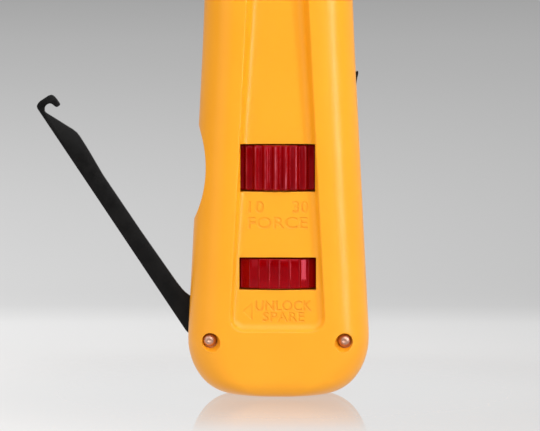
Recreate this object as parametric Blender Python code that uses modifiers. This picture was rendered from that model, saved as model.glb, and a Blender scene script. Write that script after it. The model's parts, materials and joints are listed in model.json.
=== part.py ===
"""Impact punch down tool with a fold-out wire hook and spudger.

Frame: +Z runs along the tool from the butt (z = 0) to the blade tip, the face
with the two thumb wheels looks to -Y, and +X is to the right of that face.
Run with:  blender --background --python part.py
"""
import math

import bmesh
import bpy
from mathutils import Matrix, Vector

MM = 0.001

# ---------------------------------------------------------------- driving dimensions
GAP = 0.3 * MM                      # clearance between neighbouring pieces

# housing
BUTT_FLAT_HALF = 8.0 * MM           # half width of the flat that the tool stands on
BUTT_CORNER_HEIGHT = 13.0 * MM
HALF_WIDTH = 18.94 * MM             # widest, near the top of the butt corners
HALF_DEPTH = 13.0 * MM
DEPTH_CORNER = 4.4 * MM             # rounding of the butt from front to back
CORNER_POWER = 2.15
TAPER = 0.0515                      # half width lost per unit of height
TAPER_START = 10.5 * MM
TAPER_END = 70.0 * MM
EDGE_RADIUS = 8.0 * MM
WALL = 2.4 * MM

# upper housing sections: height, half width, half depth, corner radius (mm)
UPPER_SECTIONS = (
    (84.0, 15.29, 13.0, 8.0),
    (96.0, 14.7, 12.5, 7.8),
    (104.0, 14.1, 12.05, 7.7),
    (111.0, 13.7, 11.8, 7.7),
    (118.0, 13.95, 11.9, 7.9),
    (124.0, 14.7, 12.2, 8.3),
    (129.0, 15.6, 12.6, 9.0),
    (133.5, 16.0, 12.9, 9.6),
    (137.5, 15.5, 12.7, 10.2),
    (141.0, 14.1, 12.2, 10.6),
    (144.0, 12.6, 11.6, 10.8),
    (147.0, 11.4, 11.1, 10.9),
    (150.0, 10.9, 10.9, 10.89),
    (152.0, 10.7, 10.7, 10.69),
)

# recessed panel on each face
PANEL_BOTTOM = 13.6 * MM
PANEL_TOP = 112.0 * MM
PANEL_HALF_BOTTOM = 10.15 * MM
PANEL_HALF_TOP = 5.05 * MM
PANEL_DEPTH_BOTTOM = 1.2 * MM
PANEL_DEPTH_TOP = 2.4 * MM
PANEL_SLOPE = 1.8 * MM              # width of the sloping panel border

# thumb wheels
WHEEL_RADIUS = 12.3 * MM
FLUTES = 36
IMPACT_Z = (43.05 * MM, 52.45 * MM)
IMPACT_WINDOW = (42.8 * MM, 52.7 * MM)
IMPACT_WINDOW_HALF = 7.75 * MM
RELEASE_Z = (22.7 * MM, 28.9 * MM)
RELEASE_WINDOW = (22.45 * MM, 29.2 * MM)
RELEASE_WINDOW_HALF = 7.95 * MM
TRUNNION_RADIUS = 6.5 * MM
IMPACT_TRUNNION = (40.4 * MM, 55.4 * MM)
RELEASE_TRUNNION = (20.6 * MM, 31.2 * MM)
NUT_BORE = 5.0 * MM
BLADE_PASSAGE = 4.6 * MM

# fold-out tools
PIVOT_Z = 11.45 * MM
HOOK_PIVOT_X = -13.95 * MM
SPUDGER_PIVOT_X = 13.95 * MM
HOOK_OPEN = math.radians(33.9)      # angle from vertical in the modelled pose
HOOK_LENGTH = 62.0 * MM
SPUDGER_LEAN = math.radians(0.9)
LEAF_HALF = 0.7 * MM                # half thickness of hook and spudger
SLOT_HALF = 1.05 * MM
TANG_RADIUS = 3.0 * MM
PIVOT_POCKET = 3.9 * MM
PIVOT_POCKET_HALF = 1.75 * MM
WASHER_Y = 1.22 * MM
RIVET_RADIUS = 1.25 * MM
RIVET_HEAD = 1.55 * MM
RIVET_SEAT = 10.6 * MM               # |y| of the floor under the rivet heads
RIVET_RECESS = 2.05 * MM
NOTCH_RADIUS = 24.0 * MM
NOTCH_CENTRE = (-38.95 * MM, 47.7 * MM)

# mechanism on the long axis
TUBE_INNER = 7.5 * MM
TUBE_OUTER = 8.5 * MM
TUBE_Z = (58.2 * MM, 146.0 * MM)
NUT_FLANGE_Z = (59.4 * MM, 61.0 * MM)
SPRING_Z = (61.3 * MM, 103.9 * MM)
SPRING_RADIUS = 5.8 * MM
SPRING_WIRE = 0.8 * MM
HAMMER_RADIUS = 7.1 * MM
HAMMER_Z = (104.2 * MM, 124.2 * MM)
HAMMER_BORE = 2.8 * MM
LATCH_Z = (112.5 * MM, 116.8 * MM)
LATCH_X = (-6.8 * MM, 2.0 * MM)
LATCH_SHIFT = 2.6 * MM              # travel that lines its hole up with the stem
STEM_RADIUS = 2.4 * MM
STEM_Z = (117.1 * MM, 140.0 * MM)
RETURN_SPRING_Z = (124.5 * MM, 132.7 * MM)
PLUNGER_RADIUS = 5.6 * MM
PLUNGER_Z = (133.0 * MM, 168.0 * MM)
PLUNGER_FLANGE = 7.0 * MM
PLUNGER_BORE = 4.35 * MM
BUSHING_Z = (136.3 * MM, 151.6 * MM)
BUSHING_BORE = 5.95 * MM
CAP_Z = (152.3 * MM, 157.6 * MM)

# blades
SHANK_RADIUS = 4.0 * MM
SHANK_LENGTH = 17.6 * MM
BLADE_LENGTH = 37.2 * MM
BLADE_HALF_WIDTH = 3.55 * MM
BLADE_HALF_DEPTH = 1.6 * MM
BLADE_BASE = 150.4 * MM
SPARE_BASE = 0.3 * MM
SLEEVE_Z = (2.3 * MM, 20.2 * MM)
SLEEVE_RADII = (4.4 * MM, 5.4 * MM)
BAYONET_Z = 161.0 * MM              # cross pin that locks a blade in the plunger
PIN_RADIUS = 0.8 * MM

GUARD_SCREW = (11.5 * MM, 133.0 * MM)
GUARD_SEAT = 6.3 * MM               # |y| of the floor under the guard screw heads

# click detents that hold the two wheels
DETENT_RADIUS = 9.4 * MM
DETENT_BALL = 1.0 * MM


# ---------------------------------------------------------------- scene and helpers
def clear_scene():
    for obj in list(bpy.data.objects):
        bpy.data.objects.remove(obj, do_unlink=True)


def new_collection(name):
    collection = bpy.data.collections.new(name)
    bpy.context.scene.collection.children.link(collection)
    return collection


def make_material(name, colour, roughness, metallic):
    material = bpy.data.materials.new(name)
    material.use_nodes = True
    shader = material.node_tree.nodes["Principled BSDF"]
    shader.inputs["Base Color"].default_value = (*colour, 1.0)
    shader.inputs["Roughness"].default_value = roughness
    shader.inputs["Metallic"].default_value = metallic
    material.diffuse_color = (*colour, 1.0)
    return material


def add_object(name, data, finish=None):
    """Link a mesh as a part, or as a hidden cutter when it has no finish."""
    obj = bpy.data.objects.new(name, data)
    if finish is None:
        CUTTERS.objects.link(obj)
        obj.display_type = "WIRE"
        obj.hide_render = True
    else:
        TOOL.objects.link(obj)
        data.materials.append(finish)
    return obj


def finished_mesh(name, bm):
    bmesh.ops.recalc_face_normals(bm, faces=bm.faces)
    mesh = bpy.data.meshes.new(name)
    bm.to_mesh(mesh)
    bm.free()
    return mesh


def box(name, low, high, finish=None):
    bm = bmesh.new()
    bmesh.ops.create_cube(bm, size=1.0)
    low, high = Vector(low), Vector(high)
    size = high - low
    bmesh.ops.scale(bm, vec=size, verts=bm.verts)
    bmesh.ops.translate(bm, vec=(low + high) / 2, verts=bm.verts)
    return add_object(name, finished_mesh(name, bm), finish)


def rod(name, radius, start, end, finish=None, segments=20):
    """A cylinder between two points."""
    start, end = Vector(start), Vector(end)
    turn = (end - start).to_track_quat("Z", "Y").to_matrix().to_4x4()
    bm = bmesh.new()
    bmesh.ops.create_cone(bm, cap_ends=True, segments=segments, radius1=radius,
                          radius2=radius, depth=(end - start).length,
                          matrix=Matrix.Translation((start + end) / 2) @ turn)
    return add_object(name, finished_mesh(name, bm), finish)


def turned(name, profile, finish=None, steps=32, closed=False):
    """A profile of (radius, z), outer side top to bottom, swept about Z."""
    mesh = bpy.data.meshes.new(name)
    edges = [(i, i + 1) for i in range(len(profile) - 1)]
    if closed:
        edges.append((len(profile) - 1, 0))
    mesh.from_pydata([(r, 0.0, z) for r, z in profile], edges, [])
    obj = add_object(name, mesh, finish)
    screw = obj.modifiers.new("Screw", "SCREW")
    screw.steps = steps
    screw.render_steps = steps
    screw.use_merge_vertices = True
    screw.merge_threshold = 0.00001
    return obj


def ring(name, inner, outer, low, high, finish=None, steps=32):
    profile = [(outer, high), (outer, low), (inner, low), (inner, high)]
    return turned(name, profile, finish, steps, closed=True)


def flat_mesh(name, outlines, half_thickness):
    """Closed outlines of (x, z), the first with holes after it, thickened in Y."""
    curve = bpy.data.curves.new(name, "CURVE")
    curve.dimensions = "2D"
    curve.fill_mode = "BOTH"
    curve.extrude = half_thickness
    for outline in outlines:
        spline = curve.splines.new("POLY")
        spline.points.add(len(outline) - 1)
        for point, (x, z) in zip(spline.points, outline):
            point.co = (x, z, 0.0, 1.0)
        spline.use_cyclic_u = True
    guide = bpy.data.objects.new(name, curve)
    CUTTERS.objects.link(guide)
    depsgraph = bpy.context.evaluated_depsgraph_get()
    mesh = bpy.data.meshes.new_from_object(guide.evaluated_get(depsgraph))
    bpy.data.objects.remove(guide, do_unlink=True)
    bpy.data.curves.remove(curve)
    mesh.name = name
    bm = bmesh.new()
    bm.from_mesh(mesh)
    bmesh.ops.remove_doubles(bm, verts=bm.verts, dist=1e-7)
    bmesh.ops.recalc_face_normals(bm, faces=bm.faces)
    bm.to_mesh(mesh)
    bm.free()
    mesh.transform(Matrix.Rotation(math.pi / 2, 4, "X"))
    return mesh


def flat(name, outlines, half_thickness, finish=None):
    return add_object(name, flat_mesh(name, outlines, half_thickness), finish)


def disc(name, outlines, low, high, finish=None):
    """Closed outlines of (x, y) thickened from one height to another."""
    mesh = flat_mesh(name, outlines, (high - low) / 2)
    mesh.transform(Matrix.Rotation(-math.pi / 2, 4, "X"))
    mesh.transform(Matrix.Translation((0.0, 0.0, (low + high) / 2)))
    return add_object(name, mesh, finish)


def boolean(obj, tool, operation="DIFFERENCE"):
    modifier = obj.modifiers.new(tool.name, "BOOLEAN")
    modifier.operation = operation
    modifier.solver = "EXACT"
    modifier.object = tool
    return obj


def coil(name, radius, wire, low, high, turns, finish, per_turn=9, centre=(0.0, 0.0), axis="Z"):
    """A compression spring with flat end turns."""
    curve = bpy.data.curves.new(name, "CURVE")
    curve.dimensions = "3D"
    curve.bevel_depth = wire
    curve.bevel_resolution = 2
    curve.use_fill_caps = True
    count = int(turns * per_turn) + 1
    spline = curve.splines.new("POLY")
    spline.points.add(count - 1)
    for i in range(count):
        share = i / (count - 1)
        angle = 2 * math.pi * turns * share
        height = low + wire + (high - low - 2 * wire) * share
        a, b = radius * math.cos(angle), radius * math.sin(angle)
        if axis == "Z":
            spline.points[i].co = (centre[0] + a, centre[1] + b, height, 1.0)
        else:
            spline.points[i].co = (height, centre[0] + a, centre[1] + b, 1.0)
    obj = bpy.data.objects.new(name, curve)
    TOOL.objects.link(obj)
    curve.materials.append(finish)
    return obj


def circle(radius, count=24, centre=(0.0, 0.0)):
    return [(centre[0] + radius * math.cos(2 * math.pi * i / count),
             centre[1] + radius * math.sin(2 * math.pi * i / count)) for i in range(count)]


# ---------------------------------------------------------------- housing form
def half_width(z):
    """Half width of the lower housing at height z."""
    side = HALF_WIDTH - TAPER * max(0.0, z - TAPER_START)
    if z >= BUTT_CORNER_HEIGHT:
        return side
    share = ((BUTT_CORNER_HEIGHT - z) / BUTT_CORNER_HEIGHT) ** CORNER_POWER
    return BUTT_FLAT_HALF + (side - BUTT_FLAT_HALF) * (1.0 - share) ** (1.0 / CORNER_POWER)


def half_depth(z):
    if z >= DEPTH_CORNER:
        return HALF_DEPTH
    share = ((DEPTH_CORNER - z) / DEPTH_CORNER) ** CORNER_POWER
    return HALF_DEPTH - DEPTH_CORNER + DEPTH_CORNER * (1.0 - share) ** (1.0 / CORNER_POWER)


def housing_sections():
    """Height, half width, half depth and corner radius of every section."""
    lower = [0.0, 0.25, 0.8, 1.7, 2.9, 4.4, 6.3, 8.7, 11.1, 13.1, 70.0]
    rows = []
    for height in lower:
        z = height * MM
        wide, deep = half_width(z), half_depth(z)
        rows.append((z, wide, deep, min(EDGE_RADIUS, 0.96 * deep)))
    for height, wide, deep, radius in UPPER_SECTIONS:
        rows.append((height * MM, wide * MM, deep * MM, radius * MM))
    return rows


def section_ring(z, wide, deep, radius, arc=5):
    """A rounded rectangle at height z, counted anticlockwise from above."""
    points = []
    for corner, (sx, sy) in enumerate(((1, 1), (-1, 1), (-1, -1), (1, -1))):
        cx, cy = sx * (wide - radius), sy * (deep - radius)
        for i in range(arc + 1):
            angle = math.pi / 2 * (corner + i / arc)
            points.append((cx + radius * math.cos(angle), cy + radius * math.sin(angle), z))
    return points


def loft(name, rows, finish=None):
    bm = bmesh.new()
    rings = [[bm.verts.new(p) for p in section_ring(*row)] for row in rows]
    count = len(rings[0])
    for low, high in zip(rings, rings[1:]):
        for i in range(count):
            j = (i + 1) % count
            bm.faces.new((low[i], low[j], high[j], high[i]))
    bm.faces.new(list(reversed(rings[0])))
    bm.faces.new(rings[-1])
    return add_object(name, finished_mesh(name, bm), finish)


# ---------------------------------------------------------------- cuts in both shells
def panel_cutter(side):
    """The tapered shallow panel, on the front (side -1) or back (side +1)."""
    bm = bmesh.new()
    face = side * HALF_DEPTH
    proud = side * 2.0 * MM

    def outline(inset, depths):
        half_b = PANEL_HALF_BOTTOM - inset
        half_t = PANEL_HALF_TOP - inset
        low, high = PANEL_BOTTOM + inset, PANEL_TOP - inset
        radius = 3.4 * MM - 0.6 * inset
        points = []
        for centre_x, first in ((half_b - radius, -90.0), (-(half_b - radius), 180.0)):
            for step in range(5):
                angle = math.radians(first + 22.5 * step)
                points.append((centre_x + radius * math.cos(angle),
                               low + radius + radius * math.sin(angle)))
        right, left = points[:5], points[5:]
        loop = right + [(half_t, high), (-half_t, high)] + left
        verts = []
        for x, z in loop:
            share = (z - PANEL_BOTTOM) / (PANEL_TOP - PANEL_BOTTOM)
            depth = depths[0] + (depths[1] - depths[0]) * share
            verts.append(bm.verts.new((x, face - side * depth, z)))
        return verts

    top = outline(-0.2 * MM, (0.0, 0.0))
    for vert in top:
        vert.co.y += proud
    rim = outline(0.0, (0.0, 0.0))
    floor = outline(PANEL_SLOPE, (PANEL_DEPTH_BOTTOM, PANEL_DEPTH_TOP))
    for first, second in ((top, rim), (rim, floor)):
        for i in range(len(first)):
            j = (i + 1) % len(first)
            bm.faces.new((first[i], first[j], second[j], second[i]))
    bm.faces.new(top)
    bm.faces.new(floor)
    return add_object(f"panel_cut_{'front' if side < 0 else 'back'}",
                      finished_mesh("panel_cut", bm))


def leaf_slot(name, pivot_x, side):
    """Thin slot that a folded leaf lies in, open to the side of the housing."""
    inner, outside = sorted((pivot_x - side * 3.4 * MM, side * 26.0 * MM))
    return box(name, (inner, -SLOT_HALF, PIVOT_Z - 4.2 * MM),
               (outside, SLOT_HALF, PIVOT_Z + HOOK_LENGTH + 1.6 * MM))


def shared_cutters():
    cuts = []
    cuts.append(rod("bore_spare_blade", BLADE_PASSAGE, (0, 0, -1 * MM), (0, 0, 39.4 * MM)))
    cuts.append(rod("bore_sleeve", SLEEVE_RADII[1] + GAP, (0, 0, SLEEVE_Z[0] - GAP),
                    (0, 0, SLEEVE_Z[1] + GAP)))
    for name, zone, trunnion in (("impact", IMPACT_WINDOW, IMPACT_TRUNNION),
                                 ("release", RELEASE_WINDOW, RELEASE_TRUNNION)):
        cuts.append(rod(f"pocket_{name}_wheel", WHEEL_RADIUS + 0.35 * MM,
                        (0, 0, zone[0]), (0, 0, zone[1]), segments=48))
        cuts.append(rod(f"bore_{name}_trunnion", TRUNNION_RADIUS + GAP,
                        (0, 0, trunnion[0] - GAP), (0, 0, trunnion[1] + 3 * GAP)))
        cuts.append(rod(f"{name}_detent_hole", DETENT_BALL + GAP,
                        (0, DETENT_RADIUS, zone[1] - 0.1 * MM),
                        (0, DETENT_RADIUS, zone[1] + 4.0 * MM), segments=12))
    for name, half, zone in (("impact", IMPACT_WINDOW_HALF, IMPACT_WINDOW),
                             ("release", RELEASE_WINDOW_HALF, RELEASE_WINDOW)):
        cuts.append(box(f"window_{name}", (-half, -16 * MM, zone[0]), (half, 16 * MM, zone[1])))
    cuts.append(rod("bore_nut", NUT_BORE + GAP, (0, 0, 39.0 * MM), (0, 0, 60.0 * MM)))
    cuts.append(rod("bore_tube", TUBE_OUTER + GAP, (0, 0, 57.9 * MM), (0, 0, 146.3 * MM),
                    segments=32))
    cuts.append(rod("bore_nose", 9.3 * MM, (0, 0, 146.0 * MM), (0, 0, 153.0 * MM), segments=32))
    cuts.append(panel_cutter(-1))
    cuts.append(panel_cutter(1))
    cuts.append(rod("finger_notch", NOTCH_RADIUS, (NOTCH_CENTRE[0], -20 * MM, NOTCH_CENTRE[1]),
                    (NOTCH_CENTRE[0], 20 * MM, NOTCH_CENTRE[1]), segments=72))
    cuts.append(leaf_slot("hook_slot", HOOK_PIVOT_X, -1))
    cuts.append(leaf_slot("spudger_slot", SPUDGER_PIVOT_X, 1))
    for name, x in (("hook", HOOK_PIVOT_X), ("spudger", SPUDGER_PIVOT_X)):
        cuts.append(rod(f"{name}_pivot_pocket", PIVOT_POCKET, (x, -PIVOT_POCKET_HALF, PIVOT_Z),
                        (x, PIVOT_POCKET_HALF, PIVOT_Z)))
        cuts.append(rod(f"{name}_rivet_hole", RIVET_RADIUS + GAP, (x, -16 * MM, PIVOT_Z),
                        (x, 16 * MM, PIVOT_Z), segments=16))
        for side in (-1, 1):
            cuts.append(rod(f"{name}_rivet_recess_{'front' if side < 0 else 'back'}",
                            RIVET_RECESS, (x, side * RIVET_SEAT, PIVOT_Z),
                            (x, side * 16 * MM, PIVOT_Z)))
    cuts.append(box("butt_hollow_left", (-9.6 * MM, -9.6 * MM, 5.0 * MM),
                    (-6.9 * MM, 9.6 * MM, 18.6 * MM)))
    cuts.append(box("butt_hollow_right", (6.9 * MM, -9.6 * MM, 5.0 * MM),
                    (9.6 * MM, 9.6 * MM, 18.6 * MM)))
    for name, low, high in (("middle", 33.4, 38.4), ("lower", 61.0, 76.0),
                            ("centre", 78.4, 93.0), ("upper", 95.4, 109.0),
                            ("guard", 111.4, 126.0)):
        rows = [hollow_row(low * MM), hollow_row(high * MM)]
        cuts.append(loft(f"hollow_{name}", rows))
    return cuts


def hollow_row(z):
    """Section of a moulded hollow, a wall inside the outer form."""
    wide = half_width(z) if z <= TAPER_END else 13.7 * MM
    return z, wide - WALL, 8.0 * MM, 2.0 * MM


def build_shells():
    cuts = shared_cutters()
    body = loft("front_shell", housing_sections(), YELLOW)
    rear = add_object("rear_shell", body.data.copy(), YELLOW)
    rear.data.materials.clear()
    rear.data.materials.append(YELLOW)
    far = 40 * MM
    high = 160 * MM
    split_front = box("split_front", (-far, -GAP / 2, -far), (far, far, high))
    split_rear = box("split_rear", (-far, -far, -far), (far, GAP / 2, high))
    x, z = GUARD_SCREW
    for shell, split in ((body, split_front), (rear, split_rear)):
        boolean(shell, split)
        for cut in cuts:
            boolean(shell, cut)
    for side, name in ((-1, "left"), (1, "right")):
        hole = rod(f"guard_screw_hole_{name}", 1.6 * MM, (side * x, -14 * MM, z),
                   (side * x, 8.3 * MM, z), segments=16)
        seat = rod(f"guard_screw_seat_{name}", 2.45 * MM, (side * x, -16 * MM, z),
                   (side * x, -GUARD_SEAT, z))
        boolean(body, hole)
        boolean(body, seat)
        boolean(rear, hole)
    return body, rear


# ---------------------------------------------------------------- pivots and screws
def build_rivet(name, x):
    """Rivet with a domed head in each face; its axis is along Y."""
    head = 1.15 * MM
    seat = RIVET_SEAT + GAP
    dome = [(RIVET_HEAD * math.sin(math.radians(a)),
             seat + head * math.cos(math.radians(a))) for a in (0, 25, 50, 72)]
    half = dome + [(RIVET_HEAD, seat), (RIVET_RADIUS, seat)]
    profile = half + [(r, -z) for r, z in reversed(half)]
    obj = turned(name, profile, STEEL, steps=20)
    obj.location = (x, 0.0, PIVOT_Z)
    obj.rotation_euler = (math.pi / 2, 0.0, 0.0)
    return obj


def build_guard_screw(name, x):
    """Pan head screw that enters the front shell and threads into the rear one."""
    seat = GUARD_SEAT + 0.3 * MM
    profile = [(0.0, seat + 2.0 * MM), (1.5 * MM, seat + 1.75 * MM), (2.1 * MM, seat + 1.1 * MM),
               (2.1 * MM, seat), (1.3 * MM, seat), (1.3 * MM, -6.8 * MM), (0.6 * MM, -8.0 * MM),
               (0.0, -8.0 * MM)]
    obj = turned(name, profile, STEEL, steps=20)
    obj.location = (x, 0.0, GUARD_SCREW[1])
    obj.rotation_euler = (math.pi / 2, 0.0, 0.0)
    slot = box(f"{name}_drive", (x - 1.6 * MM, -12 * MM, GUARD_SCREW[1] - 0.3 * MM),
               (x + 1.6 * MM, -seat - 1.2 * MM, GUARD_SCREW[1] + 0.3 * MM))
    return boolean(obj, slot)


def build_washer(name, x):
    obj = ring(name, 1.6 * MM, 3.0 * MM, -0.2 * MM, 0.2 * MM, STEEL, steps=20)
    obj.location = (x, WASHER_Y, PIVOT_Z)
    obj.rotation_euler = (math.pi / 2, 0.0, 0.0)
    return obj


# ---------------------------------------------------------------- fold-out leaves
def arc_points(centre, radius, first, last, steps):
    return [(centre[0] + radius * math.cos(math.radians(first + (last - first) * i / steps)),
             centre[1] + radius * math.sin(math.radians(first + (last - first) * i / steps)))
            for i in range(steps + 1)]


def build_hook():
    """Flat hook; local +Z runs along the leaf from the pivot, -X is its back."""
    outline = arc_points((0.0, 0.0), TANG_RADIUS, 178.0, 387.0, 10)
    for across, along in ((0.9, 10.05), (0.4, 11.92), (0.25, 13.84), (0.0, 41.1), (0.45, 48.5),
                          (0.42, 51.55), (-2.65, 58.7), (-2.4, 59.42), (-1.8, 59.85),
                          (-0.95, 59.8), (-0.5, 59.3), (-0.38, 58.8), (-0.1, 58.3),
                          (0.65, 58.28), (0.85, 58.6), (0.78, 60.25), (0.4, 61.1),
                          (-0.25, 61.3), (-2.3, 61.3), (-3.3, 60.95), (-3.6, 60.2),
                          (-3.7, 36.2), (-3.82, 4.4)):
        outline.append((across * MM, along * MM))
    hook = flat("wire_hook", [outline, circle(1.55 * MM, 20)], LEAF_HALF, BLACK_STEEL)
    hook.location = (HOOK_PIVOT_X, 0.0, PIVOT_Z)
    hook.rotation_euler = (0.0, -HOOK_OPEN, 0.0)
    return hook


def build_spudger():
    """Flat prying leaf folded into the right side; local -X is its inner edge."""
    outline = arc_points((0.0, 0.0), TANG_RADIUS, 160.0, 360.0, 10)
    for across, along in ((3.05, 4.5), (2.9, 34.0), (2.7, 50.0), (2.9, 53.4), (3.3, 55.3),
                          (3.15, 56.0), (2.1, 55.2), (0.6, 52.6), (-0.45, 48.0),
                          (-0.5, 16.0), (-0.7, 11.2), (-1.7, 9.2)):
        outline.append((across * MM, along * MM))
    spudger = flat("spudger", [outline, circle(1.55 * MM, 20)], LEAF_HALF, BLACK_STEEL)
    spudger.location = (SPUDGER_PIVOT_X, 0.0, PIVOT_Z)
    spudger.rotation_euler = (0.0, -SPUDGER_LEAN, 0.0)
    return spudger


# ---------------------------------------------------------------- thumb wheels
def fluted_outline(radius, depth, crest, turn):
    """Gear-like rim: each flute is a crest and a shallow valley; turn shifts them round."""
    points = []
    for flute in range(FLUTES):
        middle = 2 * math.pi * (flute + turn) / FLUTES
        half = math.pi / FLUTES
        for share, r in ((-crest, radius), (crest, radius), (0.62, radius - depth),
                         (1.38, radius - depth)):
            angle = middle + half * share
            points.append((r * math.cos(angle), r * math.sin(angle)))
    return points


def build_impact_wheel():
    wheel = disc("impact_wheel", [fluted_outline(WHEEL_RADIUS, 0.7 * MM, 0.3, 0.8),
                                  circle(5.8 * MM, 32)], *IMPACT_Z, RED)
    sleeve = ring("impact_wheel_sleeve", NUT_BORE, TRUNNION_RADIUS, *IMPACT_TRUNNION)
    return boolean(wheel, sleeve, "UNION")


def build_release_wheel():
    wheel = disc("release_wheel", [fluted_outline(WHEEL_RADIUS, 0.3 * MM, 0.22, 0.17),
                                   circle(5.8 * MM, 32)], *RELEASE_Z, RED)
    sleeve = ring("release_wheel_sleeve", 4.9 * MM, TRUNNION_RADIUS, *RELEASE_TRUNNION)
    boolean(wheel, sleeve, "UNION")
    for side, name in ((-1, "front"), (1, "back")):
        ends = sorted((side * 3.1 * MM, side * 5.6 * MM))
        lug = box(f"release_lug_{name}", (-1.0 * MM, ends[0], 24.9 * MM),
                  (1.0 * MM, ends[1], 26.6 * MM))
        boolean(wheel, lug, "UNION")
    return wheel


def build_thrust_washer():
    """Steel washer that the spring load bears on above the impact wheel."""
    low = IMPACT_TRUNNION[1] + 0.15 * MM
    return ring("thrust_washer", 5.3 * MM, 6.5 * MM, low, low + 0.55 * MM, STEEL)


def build_detent(name, top):
    """Ball and spring above a wheel that click into its upper face."""
    bm = bmesh.new()
    bmesh.ops.create_icosphere(bm, subdivisions=2, radius=DETENT_BALL)
    ball = add_object(f"{name}_detent_ball", finished_mesh("detent_ball", bm), STEEL)
    ball.location = (0.0, DETENT_RADIUS, top + DETENT_BALL + 0.1 * MM)
    coil(f"{name}_detent_spring", 0.75 * MM, 0.17 * MM, top + 2.3 * MM, top + 3.85 * MM, 2.5,
         SPRING_STEEL, per_turn=8, centre=(0.0, DETENT_RADIUS))


# ---------------------------------------------------------------- firing mechanism
def build_preload_nut():
    """Hollow nut that the impact wheel screws up and down to load the spring."""
    profile = [(7.15 * MM, NUT_FLANGE_Z[1]), (7.15 * MM, NUT_FLANGE_Z[0]),
               (4.65 * MM, NUT_FLANGE_Z[0]), (4.65 * MM, 45.0 * MM),
               (3.2 * MM, 45.0 * MM), (3.2 * MM, NUT_FLANGE_Z[1])]
    nut = turned("preload_nut", profile, BRASS, closed=True)
    key = box("preload_nut_keys", (-8.2 * MM, -1.0 * MM, NUT_FLANGE_Z[0]),
              (8.2 * MM, 1.0 * MM, NUT_FLANGE_Z[1]))
    boolean(nut, key, "UNION")
    core = rod("preload_nut_core", 3.6 * MM, (0, 0, 58 * MM), (0, 0, 63 * MM))
    return boolean(nut, core)


def build_tube():
    tube = ring("mechanism_tube", TUBE_INNER, TUBE_OUTER, *TUBE_Z, STEEL, steps=40)
    slot = box("tube_key_slot", (-10 * MM, -1.4 * MM, 57 * MM), (10 * MM, 1.4 * MM, 66.2 * MM))
    return boolean(tube, slot)


def build_hammer():
    profile = [(HAMMER_BORE, HAMMER_Z[1]), (HAMMER_RADIUS - 0.8 * MM, HAMMER_Z[1]),
               (HAMMER_RADIUS, HAMMER_Z[1] - 0.8 * MM), (HAMMER_RADIUS, HAMMER_Z[0] + 0.5 * MM),
               (HAMMER_RADIUS - 0.5 * MM, HAMMER_Z[0]), (HAMMER_BORE, HAMMER_Z[0])]
    hammer = turned("hammer", profile, STEEL, closed=True)
    slot = box("hammer_latch_slot", (-9 * MM, -2.9 * MM, LATCH_Z[0] - GAP),
               (9 * MM, 2.9 * MM, LATCH_Z[1] + GAP))
    return boolean(hammer, slot)


def build_latch():
    """Cross slide whose off-centre hole lets the stem drop and fires the hammer."""
    latch = box("latch_slide", (LATCH_X[0], -2.6 * MM, LATCH_Z[0]),
                (LATCH_X[1], 2.6 * MM, LATCH_Z[1]), BRASS)
    hole = rod("latch_hole", 1.85 * MM, (-LATCH_SHIFT, 0, 110 * MM), (-LATCH_SHIFT, 0, 120 * MM))
    return boolean(latch, hole)


def build_plunger():
    profile = [(PLUNGER_RADIUS - 0.6 * MM, PLUNGER_Z[1]), (PLUNGER_RADIUS, PLUNGER_Z[1] - 0.6 * MM),
               (PLUNGER_RADIUS, PLUNGER_Z[0] + 2.9 * MM), (PLUNGER_FLANGE, PLUNGER_Z[0] + 2.9 * MM),
               (PLUNGER_FLANGE, PLUNGER_Z[0]), (2.7 * MM, PLUNGER_Z[0]), (2.7 * MM, 140.3 * MM),
               (0.0, 140.3 * MM)]
    bore = [(0.0, 150.1 * MM), (PLUNGER_BORE, 150.1 * MM), (PLUNGER_BORE, PLUNGER_Z[1])]
    plunger = turned("plunger", bore + profile, STEEL)
    pin_hole = rod("bayonet_pin_hole", PIN_RADIUS + GAP, (3.0 * MM, 0, BAYONET_Z),
                   (7.0 * MM, 0, BAYONET_Z), segments=16)
    return boolean(plunger, pin_hole)


def build_stem():
    profile = [(0.0, STEM_Z[1]), (STEM_RADIUS, STEM_Z[1]), (STEM_RADIUS, 132.0 * MM),
               (1.6 * MM, 119.0 * MM), (1.6 * MM, STEM_Z[0] + 0.5 * MM),
               (1.1 * MM, STEM_Z[0]), (0.0, STEM_Z[0])]
    return turned("plunger_stem", profile, STEEL, steps=20)


def build_bushing():
    profile = [(9.0 * MM, BUSHING_Z[1]), (9.0 * MM, 146.6 * MM), (7.2 * MM, 146.6 * MM),
               (7.2 * MM, BUSHING_Z[0]), (BUSHING_BORE, BUSHING_Z[0]), (BUSHING_BORE, BUSHING_Z[1])]
    return turned("nose_bushing", profile, BRASS, closed=True)


def build_nose_cap():
    profile = [(8.2 * MM, CAP_Z[1]), (9.6 * MM, CAP_Z[1] - 0.9 * MM), (10.6 * MM, 155.0 * MM),
               (10.6 * MM, CAP_Z[0]), (BUSHING_BORE, CAP_Z[0]), (BUSHING_BORE, CAP_Z[1])]
    return turned("nose_cap", profile, BLACK_PLASTIC, closed=True)


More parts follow.
